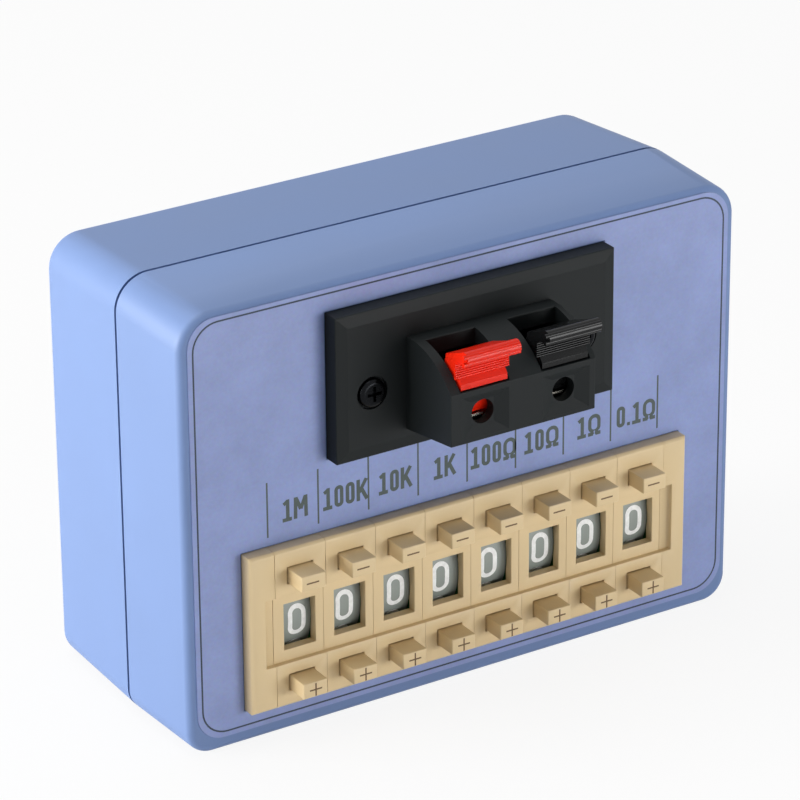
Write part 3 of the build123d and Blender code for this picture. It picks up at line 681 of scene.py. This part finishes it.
def wrap(bm, radius):
    """Bends a flat shape that lies along Y round a drum about the X axis."""
    highest = max(vert.co.y for vert in bm.verts)
    lowest = min(vert.co.y for vert in bm.verts)
    for step in range(1, WRAP_STEPS):
        bmesh.ops.bisect_plane(bm, geom=bm.verts[:] + bm.edges[:] + bm.faces[:],
                               plane_co=(0, lowest + (highest - lowest) * step / WRAP_STEPS, 0),
                               plane_no=(0, 1, 0))
    for vert in bm.verts:
        angle = vert.co.y / radius
        reach = radius + vert.co.z
        vert.co.y = reach * math.sin(angle)
        vert.co.z = reach * math.cos(angle)


def digit_shape(value, sizes):
    """Flat outline of one digit about the origin."""
    half_width = sizes.digit_width / 2
    half_height = sizes.digit_height / 2
    if value == 0:
        return rounded_ring(half_width, half_height, half_width * OVAL_SHARE, sizes.digit_line)
    shape = text_shape(str(value), DIGIT_WEIGHT)
    narrow = NARROW_ONE if value == 1 else 1.0
    fit(shape, -half_width * narrow, half_width * narrow, -half_height, half_height)
    return shape


class BOX_OT_terminal(PieceOperator):
    """Finish the terminal moulding, its contacts and its back plate"""

    bl_idname = "box.terminal"
    bl_label = "Spring terminal"

    def execute(self, context):
        dress("terminal_body", "housing", "terminal", width=0.12 * MM,
              shortest=1.0 * MM, smooth_angle=9)
        paint(frame["nodes"]["terminal_back_plate"], "terminal")
        for side in ("red", "black"):
            paint(frame["nodes"][f"contact_{side}"], "contact")
            paint(frame["nodes"][f"lead_{side}"], "lead")
        return {"FINISHED"}


class BOX_OT_levers(PieceOperator):
    """Finish the two clamping levers and their ribbed finger grips"""

    bl_idname = "box.levers"
    bl_label = "Clamping levers"

    def execute(self, context):
        sizes = context.scene.lever_sizes
        for side, slot in (("red", "red_plastic"), ("black", "lever_black")):
            node = f"lever_{side}"
            low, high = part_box(node)
            pivot = Vector(JOINTS[f"{side}_lever_pivot"]["pos_m"])
            half = pivot.x - low.x
            bm = copy_of(node, 0.14 * MM, 0.6 * MM)
            for number in range(sizes.ribs):
                rod(bm, pivot.x - half + sizes.rib_inset, pivot.x + half - sizes.rib_inset,
                    pivot.y - sizes.hollow_reach,
                    pivot.z + sizes.rib_foot + number * sizes.rib_pitch, sizes.rib_radius)
            for angle in (sizes.ridge_high, -sizes.ridge_low):
                rod(bm, low.x + sizes.rib_inset, high.x - sizes.rib_inset,
                    pivot.y - sizes.bar_reach - sizes.ridge_offset * math.cos(angle),
                    pivot.z + sizes.bar_height + sizes.ridge_offset * math.sin(angle),
                    sizes.ridge_radius)
            add_piece(f"{node}_moulded", bm, f"{side}_lever", node, (node,), 24)
        return {"FINISHED"}


class BOX_OT_fasteners(PieceOperator):
    """Finish the screws, nuts, rods and links"""

    bl_idname = "box.fasteners"
    bl_label = "Fasteners"

    def execute(self, context):
        paint(frame["nodes"]["terminal_screws"], "black_steel")
        for node in ("case_screws", "terminal_nuts", "tie_rods", "tie_nuts", "board_links"):
            paint(frame["nodes"][node], "steel")
        return {"FINISHED"}


class BOX_OT_boards(PieceOperator):
    """Finish the decade boards"""

    bl_idname = "box.boards"
    bl_label = "Decade boards"

    def execute(self, context):
        for number in range(1, DECADES + 1):
            paint(frame["nodes"][f"decade_board_{number}"], "board")
        return {"FINISHED"}


def aim(thing, place, target):
    """Puts a lamp or camera at a place and turns it towards a target."""
    thing.location = place
    thing.rotation_euler = (Vector(target) - Vector(place)).to_track_quat("-Z", "Y").to_euler()


def add_lamp(name, power, size, place, target):
    """A square soft lamp."""
    lamp = bpy.data.lights.new(name, "AREA")
    lamp.energy = power
    lamp.size = size
    holder = bpy.data.objects.new(name, lamp)
    bpy.context.scene.collection.objects.link(holder)
    holder.visible_camera = False
    aim(holder, place, target)


class BOX_OT_stage(PieceOperator):
    """Set the floor, the lamps, the white room and the camera"""

    bl_idname = "box.stage"
    bl_label = "Stage"

    def execute(self, context):
        scene = context.scene
        stage = scene.box_stage
        scene.view_settings.view_transform = "Standard"
        world = bpy.data.worlds.new("white_room")
        world.use_nodes = True
        tree = world.node_tree
        tree.nodes.clear()
        path = add_node(tree, "ShaderNodeLightPath")
        seen = add_node(tree, "ShaderNodeMath", {"operation": "MAXIMUM"},
                        i0=path.outputs["Is Camera Ray"], i1=path.outputs["Is Glossy Ray"])
        clear = add_node(tree, "ShaderNodeMath", {"operation": "MAXIMUM"},
                         i0=seen.outputs[0], i1=path.outputs["Is Transmission Ray"])
        strength = add_node(tree, "ShaderNodeMapRange", Value=clear.outputs[0],
                            To_Min=stage.room, To_Max=1.0)
        room = add_node(tree, "ShaderNodeBackground", Color=(1, 1, 1, 1),
                        Strength=strength.outputs[0])
        add_node(tree, "ShaderNodeOutputWorld", Surface=room.outputs[0])
        scene.world = world
        add_floor()
        middle = (0, 0, 32 * MM)
        add_lamp("front_lamp", stage.front, 0.3, (0.35, -0.62, 0.05), middle)
        add_lamp("left_lamp", stage.left, 0.5, (-0.75, 0.25, 0.10), middle)
        add_lamp("top_lamp", stage.top, 0.5, (-0.1, 0.15, 0.75), middle)
        add_lamp("low_lamp", stage.below, 0.24, (0.10, -0.26, 0.02), (0.08, -0.12, 0.22))
        camera = bpy.data.cameras.new("photo_camera")
        camera.lens = stage.lens
        camera.sensor_width = 36
        camera.clip_start = 0.01
        holder = bpy.data.objects.new("photo_camera", camera)
        scene.collection.objects.link(holder)
        holder.location = CAMERA_PLACE
        holder.rotation_euler = [math.radians(angle) for angle in CAMERA_TURN]
        scene.camera = holder
        return {"FINISHED"}


def add_floor():
    """Pale floor that the camera sees as near white, with a faint soft shadow."""
    material, tree, place = start_material("pale_paper_floor")
    grain = add_node(tree, "ShaderNodeTexNoise", Vector=place, Scale=1 / (2 * MM), Detail=2.0)
    tone = add_node(tree, "ShaderNodeMix", {"data_type": "RGBA"}, Factor=grain.outputs["Fac"],
                    i6=(0.80, 0.80, 0.80, 1), i7=(0.84, 0.84, 0.84, 1))
    paper = add_node(tree, "ShaderNodeBsdfDiffuse", Color=tone.outputs[2])
    glow = add_node(tree, "ShaderNodeEmission", Color=(1, 1, 1, 1), Strength=1.0)
    path = add_node(tree, "ShaderNodeLightPath")
    seen = add_node(tree, "ShaderNodeMath", {"operation": "MAXIMUM"},
                    i0=path.outputs["Is Camera Ray"], i1=path.outputs["Is Glossy Ray"])
    clear = add_node(tree, "ShaderNodeMath", {"operation": "MAXIMUM"},
                     i0=seen.outputs[0], i1=path.outputs["Is Transmission Ray"])
    share = add_node(tree, "ShaderNodeMath", {"operation": "MULTIPLY"}, i0=clear.outputs[0],
                     i1=FLOOR_GLOW)
    mixed = add_node(tree, "ShaderNodeMixShader", i0=share.outputs[0], i1=paper.outputs[0],
                     i2=glow.outputs[0])
    end_material(material, tree, mixed)
    bm = bmesh.new()
    bmesh.ops.create_grid(bm, x_segments=1, y_segments=1, size=2.0)
    mesh = bpy.data.meshes.new("floor")
    bm.to_mesh(mesh)
    bm.free()
    mesh.materials.append(material)
    floor = bpy.data.objects.new("floor", mesh)
    bpy.context.scene.collection.objects.link(floor)


GROUPS = (BoxColours, PrintSizes, LeverSizes, StageSettings)
MAKERS = (BOX_OT_case, BOX_OT_panel_print, BOX_OT_switch_bank, BOX_OT_buttons,
          BOX_OT_digit_wheels, BOX_OT_terminal, BOX_OT_levers, BOX_OT_fasteners,
          BOX_OT_boards, BOX_OT_stage)


class BOX_PT_sidebar(bpy.types.Panel):
    """Lists the operators in the 3D view's sidebar."""

    bl_idname = "BOX_PT_sidebar"
    bl_label = "Decade box"
    bl_space_type = "VIEW_3D"
    bl_region_type = "UI"
    bl_category = "Decade box"

    def draw(self, context):
        for maker in MAKERS:
            self.layout.operator(maker.bl_idname)


def register():
    """Registers the classes and their settings."""
    for item in (*GROUPS, *MAKERS, BOX_PT_sidebar):
        bpy.utils.register_class(item)
    bpy.types.Scene.box_colours = bpy.props.PointerProperty(type=BoxColours)
    bpy.types.Scene.print_sizes = bpy.props.PointerProperty(type=PrintSizes)
    bpy.types.Scene.lever_sizes = bpy.props.PointerProperty(type=LeverSizes)
    bpy.types.Scene.box_stage = bpy.props.PointerProperty(type=StageSettings)


def unregister():
    """Removes the classes and their settings."""
    del bpy.types.Scene.box_stage
    del bpy.types.Scene.lever_sizes
    del bpy.types.Scene.print_sizes
    del bpy.types.Scene.box_colours
    for item in reversed((*GROUPS, *MAKERS, BOX_PT_sidebar)):
        bpy.utils.unregister_class(item)


def main():
    register()
    for maker in MAKERS:
        group, name = maker.bl_idname.split(".")
        getattr(getattr(bpy.ops, group), name)()


if __name__ == "__main__":
    main()
